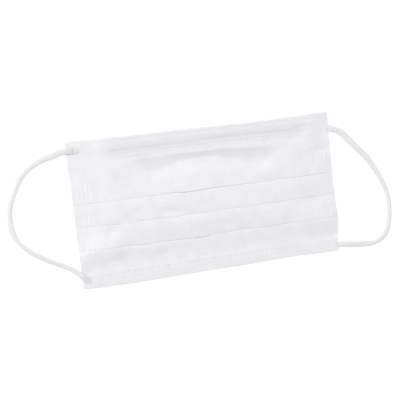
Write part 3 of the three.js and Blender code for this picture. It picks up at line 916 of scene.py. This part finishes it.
def panel_mesh():
    """Joins the two faces round the grid's edge, and keeps what the cloth's material reads."""
    points = np.vstack([outer.reshape(-1, 3), inner.reshape(-1, 3)])
    piece = make_piece("mask_panel_cloth", points, sheet_faces(ROWS, COLUMNS), CLOTH_FINISH)
    x = np.broadcast_to(X[:, None], Y.shape)
    cloth_place = np.stack([x, distance, 0 * x], axis=-1).reshape(-1, 3)
    give_places(piece, "cloth_mm", np.vstack([cloth_place, cloth_place]))
    # The 'weld' attribute makes the film glossier and carries its painted highlight
    give_attribute(piece, "weld", np.concatenate([film_and_highlight.ravel(), film_and_highlight.ravel()]))
    show_through_and_painted_shade = np.maximum(wire_show_through_and_painted_shade(x, Y), buckle_painted_shade(x, Y))
    # The 'wire' attribute carries the wire's show-through and painted shade; the inner face gets less
    # of it
    give_attribute(piece, "wire", np.concatenate([show_through_and_painted_shade.ravel(), 0.8 * show_through_and_painted_shade.ravel()]))
    return piece


panel = panel_mesh()

# %% [markdown]
# ## The welded ends
#
# Each end of a loop is pressed flat by a welding horn and melted into a corner of the mask: the
# left loop's on the front, the right loop's behind the panel. The pressed end is a low pillow with
# the horn's grid of small pits. It is a rounded outline whose top is a function of the place along
# and across it, and the two on the front follow the height of the cloth under them.

# %% Welded ends
WELD_WIDTH = 4.4
PIT_SPACING = 1.0
PIT_DEPTH = 0.05
PLATE_ROWS, PLATE_COLUMNS = 65, 41
PRESSED_HEM_TOP = 0.62
OFF_SURFACE = 0.15


def front_of_panel(x, y):
    """How high the cloth stands under a weld on the front."""
    return PRESSED_HEM_TOP + lift(x, y)


def back_of_panel(x, y):
    """The welds behind the panel lie on the surface."""
    return OFF_SURFACE + 0 * x


def pressed_end(name, middle, turn, length, thickness, rests_on):
    """A low pillow on a surface, round at its tip.

    The outline is a strip whose half width falls as a circle's height near its tip. The top rises
    from the rim as a circle's height too, and has pits where two cosines are both near 1.
    """
    rows, columns = PLATE_ROWS, PLATE_COLUMNS
    along = np.linspace(-1, 1, rows) * length / 2
    half = WELD_WIDTH / 2
    from_tip = np.clip((length / 2 - along) / half, 0, 1)
    wide = half * np.sqrt(1 - (1 - from_tip) ** 2) + 0.02
    grid_along, grid_v = np.meshgrid(along, np.linspace(-1, 1, columns), indexing="ij")
    across = wide[:, None] * grid_v
    rim = np.minimum((wide[:, None] - np.abs(across)) / 1.1, (length / 2 - grid_along) / 1.3)
    rim = np.minimum(rim, (grid_along + length / 2) / 1.0)
    round_up = np.sqrt(1 - (1 - np.clip(rim, 0, 1)) ** 2)
    pits = smooth((np.cos(2 * pi * grid_along / PIT_SPACING)
                   + np.cos(2 * pi * across / PIT_SPACING)) / 1.2 - 0.35)
    pits = pits * smooth((rim - 0.8) / 0.8)
    c, s = cos(radians(turn)), sin(radians(turn))
    x = middle[0] + c * grid_along - s * across
    y = middle[1] + s * grid_along + c * across
    base = rests_on(x, y)
    upper = np.stack([x, y, base + thickness * round_up - PIT_DEPTH * pits], axis=-1)
    under = np.stack([x, y, base - 0.1 * round_up - 0.01], axis=-1)
    points = np.vstack([upper.reshape(-1, 3), under.reshape(-1, 3)])
    piece = make_piece(name, points, sheet_faces(rows, columns)[:, ::-1], WELDED_FINISH)
    # Painted shade: the pits get the darker grey
    depth = np.concatenate([1 - 0.8 * pits.ravel(), 0.6 + 0 * pits.ravel()])
    give_attribute(piece, "height", depth)
    places = np.stack([grid_along, across, 0 * across], axis=-1).reshape(-1, 3)
    give_places(piece, "cord_mm", np.vstack([places, places]))
    return piece


WELDS = {
    # its middle, the degrees that its tip is turned, its length, its thickness, what it lies on
    "loop_weld_left_top": ((-83.6, 41.8), -2.0, 7.0, 0.36, front_of_panel),
    "loop_weld_left_bottom": ((-85.4, -42.1), -43.0, 5.8, 0.38, front_of_panel),
    "loop_weld_right_top": ((84.9, 38.1), 162.0, 9.2, 0.6, back_of_panel),
    "loop_weld_right_bottom": ((84.9, -43.9), 173.0, 9.2, 0.6, back_of_panel),
}
welds = {node: pressed_end(node + "_plate", *values) for node, values in WELDS.items()}
for node in ("loop_weld_left_top", "loop_weld_left_bottom"):
    (weld_x, weld_y), *_ = WELDS[node]
    print(node, "cloth height, mm:", front_of_panel(np.array([weld_x]), np.array([weld_y])))

# %% [markdown]
# ## The nose wire
#
# The wire is a plastic-coated strip, hidden in the hem. The CAD strip already has its true shape,
# so it stays and only gets its finish.

# %% Nose wire
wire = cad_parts["nose_wire"]
wire.data.materials.clear()
wire.data.materials.append(coating_material())

# %% [markdown]
# ## What each piece stands for
#
# Each fine piece takes the place of its CAD solid, which is hidden, and rides on the only body.

for piece, node, slot in ((panel, "mask_body", "nonwoven_cloth"),
                          (left_loop, "ear_loop_left", "knitted_elastic"),
                          (right_loop, "ear_loop_right", "knitted_elastic")):
    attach(piece, BODY)
    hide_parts(node)
for node, piece in welds.items():
    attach(piece, BODY)
    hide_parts(node)


# %% [markdown]
# ## Floor and light
#
# The mask lies on a plain white surface in a bright, even studio. A white world gives most of the
# light, and one broad lamp from the nose edge's left shows the folds. The floor is a little brighter
# than the cloth, so that the mask stands out against it as grey-white on white.

# %% Floor
FLOOR_HALF = 12.0
FLOOR_COLOUR = "#FBFBFB"
FLOOR_GLOW = 0.18


def floor_material():
    """Matt white board, with a very faint grain."""
    material, tree, output = new_material("matt_white_board")
    place = add_node(tree, "ShaderNodeTexCoord")
    grain = add_node(tree, "ShaderNodeTexNoise", {"Vector": (place, "Object")},
                     {"Scale": 900.0, "Detail": 2.0})
    bump = add_node(tree, "ShaderNodeBump", {"Height": (grain, "Fac")},
                    {"Strength": 0.05, "Distance": 0.0002})
    shader = add_node(tree, "ShaderNodeBsdfPrincipled", {"Normal": (bump, "Normal")},
                      {"Base Color": linear(FLOOR_COLOUR), "Roughness": 0.95,
                       "Specular IOR Level": 0.1, "Emission Strength": FLOOR_GLOW})
    shader.inputs["Emission Color"].default_value = (1.0, 1.0, 1.0, 1.0)
    tree.links.new(shader.outputs[0], output.inputs[0])
    return material


floor_corners = np.array([[-1, -1, 0], [1, -1, 0], [1, 1, 0], [-1, 1, 0]]) * FLOOR_HALF / MM
floor = make_piece("floor", floor_corners, np.array([[0, 1, 2, 3]]), floor_material())

# %% Light
WORLD_STRENGTH = 0.895
LAMP_WATTS = 18.0
LAMP_SIZE = 1.2
LAMP_PLACE = Vector((-0.85, 1.10, 1.15))

world = bpy.data.worlds.new("even_studio")
bpy.context.scene.world = world
world.use_nodes = True
world.node_tree.nodes["Background"].inputs["Color"].default_value = (1.0, 1.0, 1.0, 1.0)
world.node_tree.nodes["Background"].inputs["Strength"].default_value = WORLD_STRENGTH

lamp_data = bpy.data.lights.new("broad_lamp", "AREA")
lamp_data.shape = "SQUARE"
lamp_data.size = LAMP_SIZE
lamp_data.energy = LAMP_WATTS
lamp = bpy.data.objects.new("broad_lamp", lamp_data)
bpy.context.collection.objects.link(lamp)
lamp.matrix_world = look_at(LAMP_PLACE, Vector((0, 0, 0)), Vector((0, 0, 1)))
bpy.context.scene.view_settings.view_transform = "Standard"
bpy.context.scene.view_settings.look = "None"
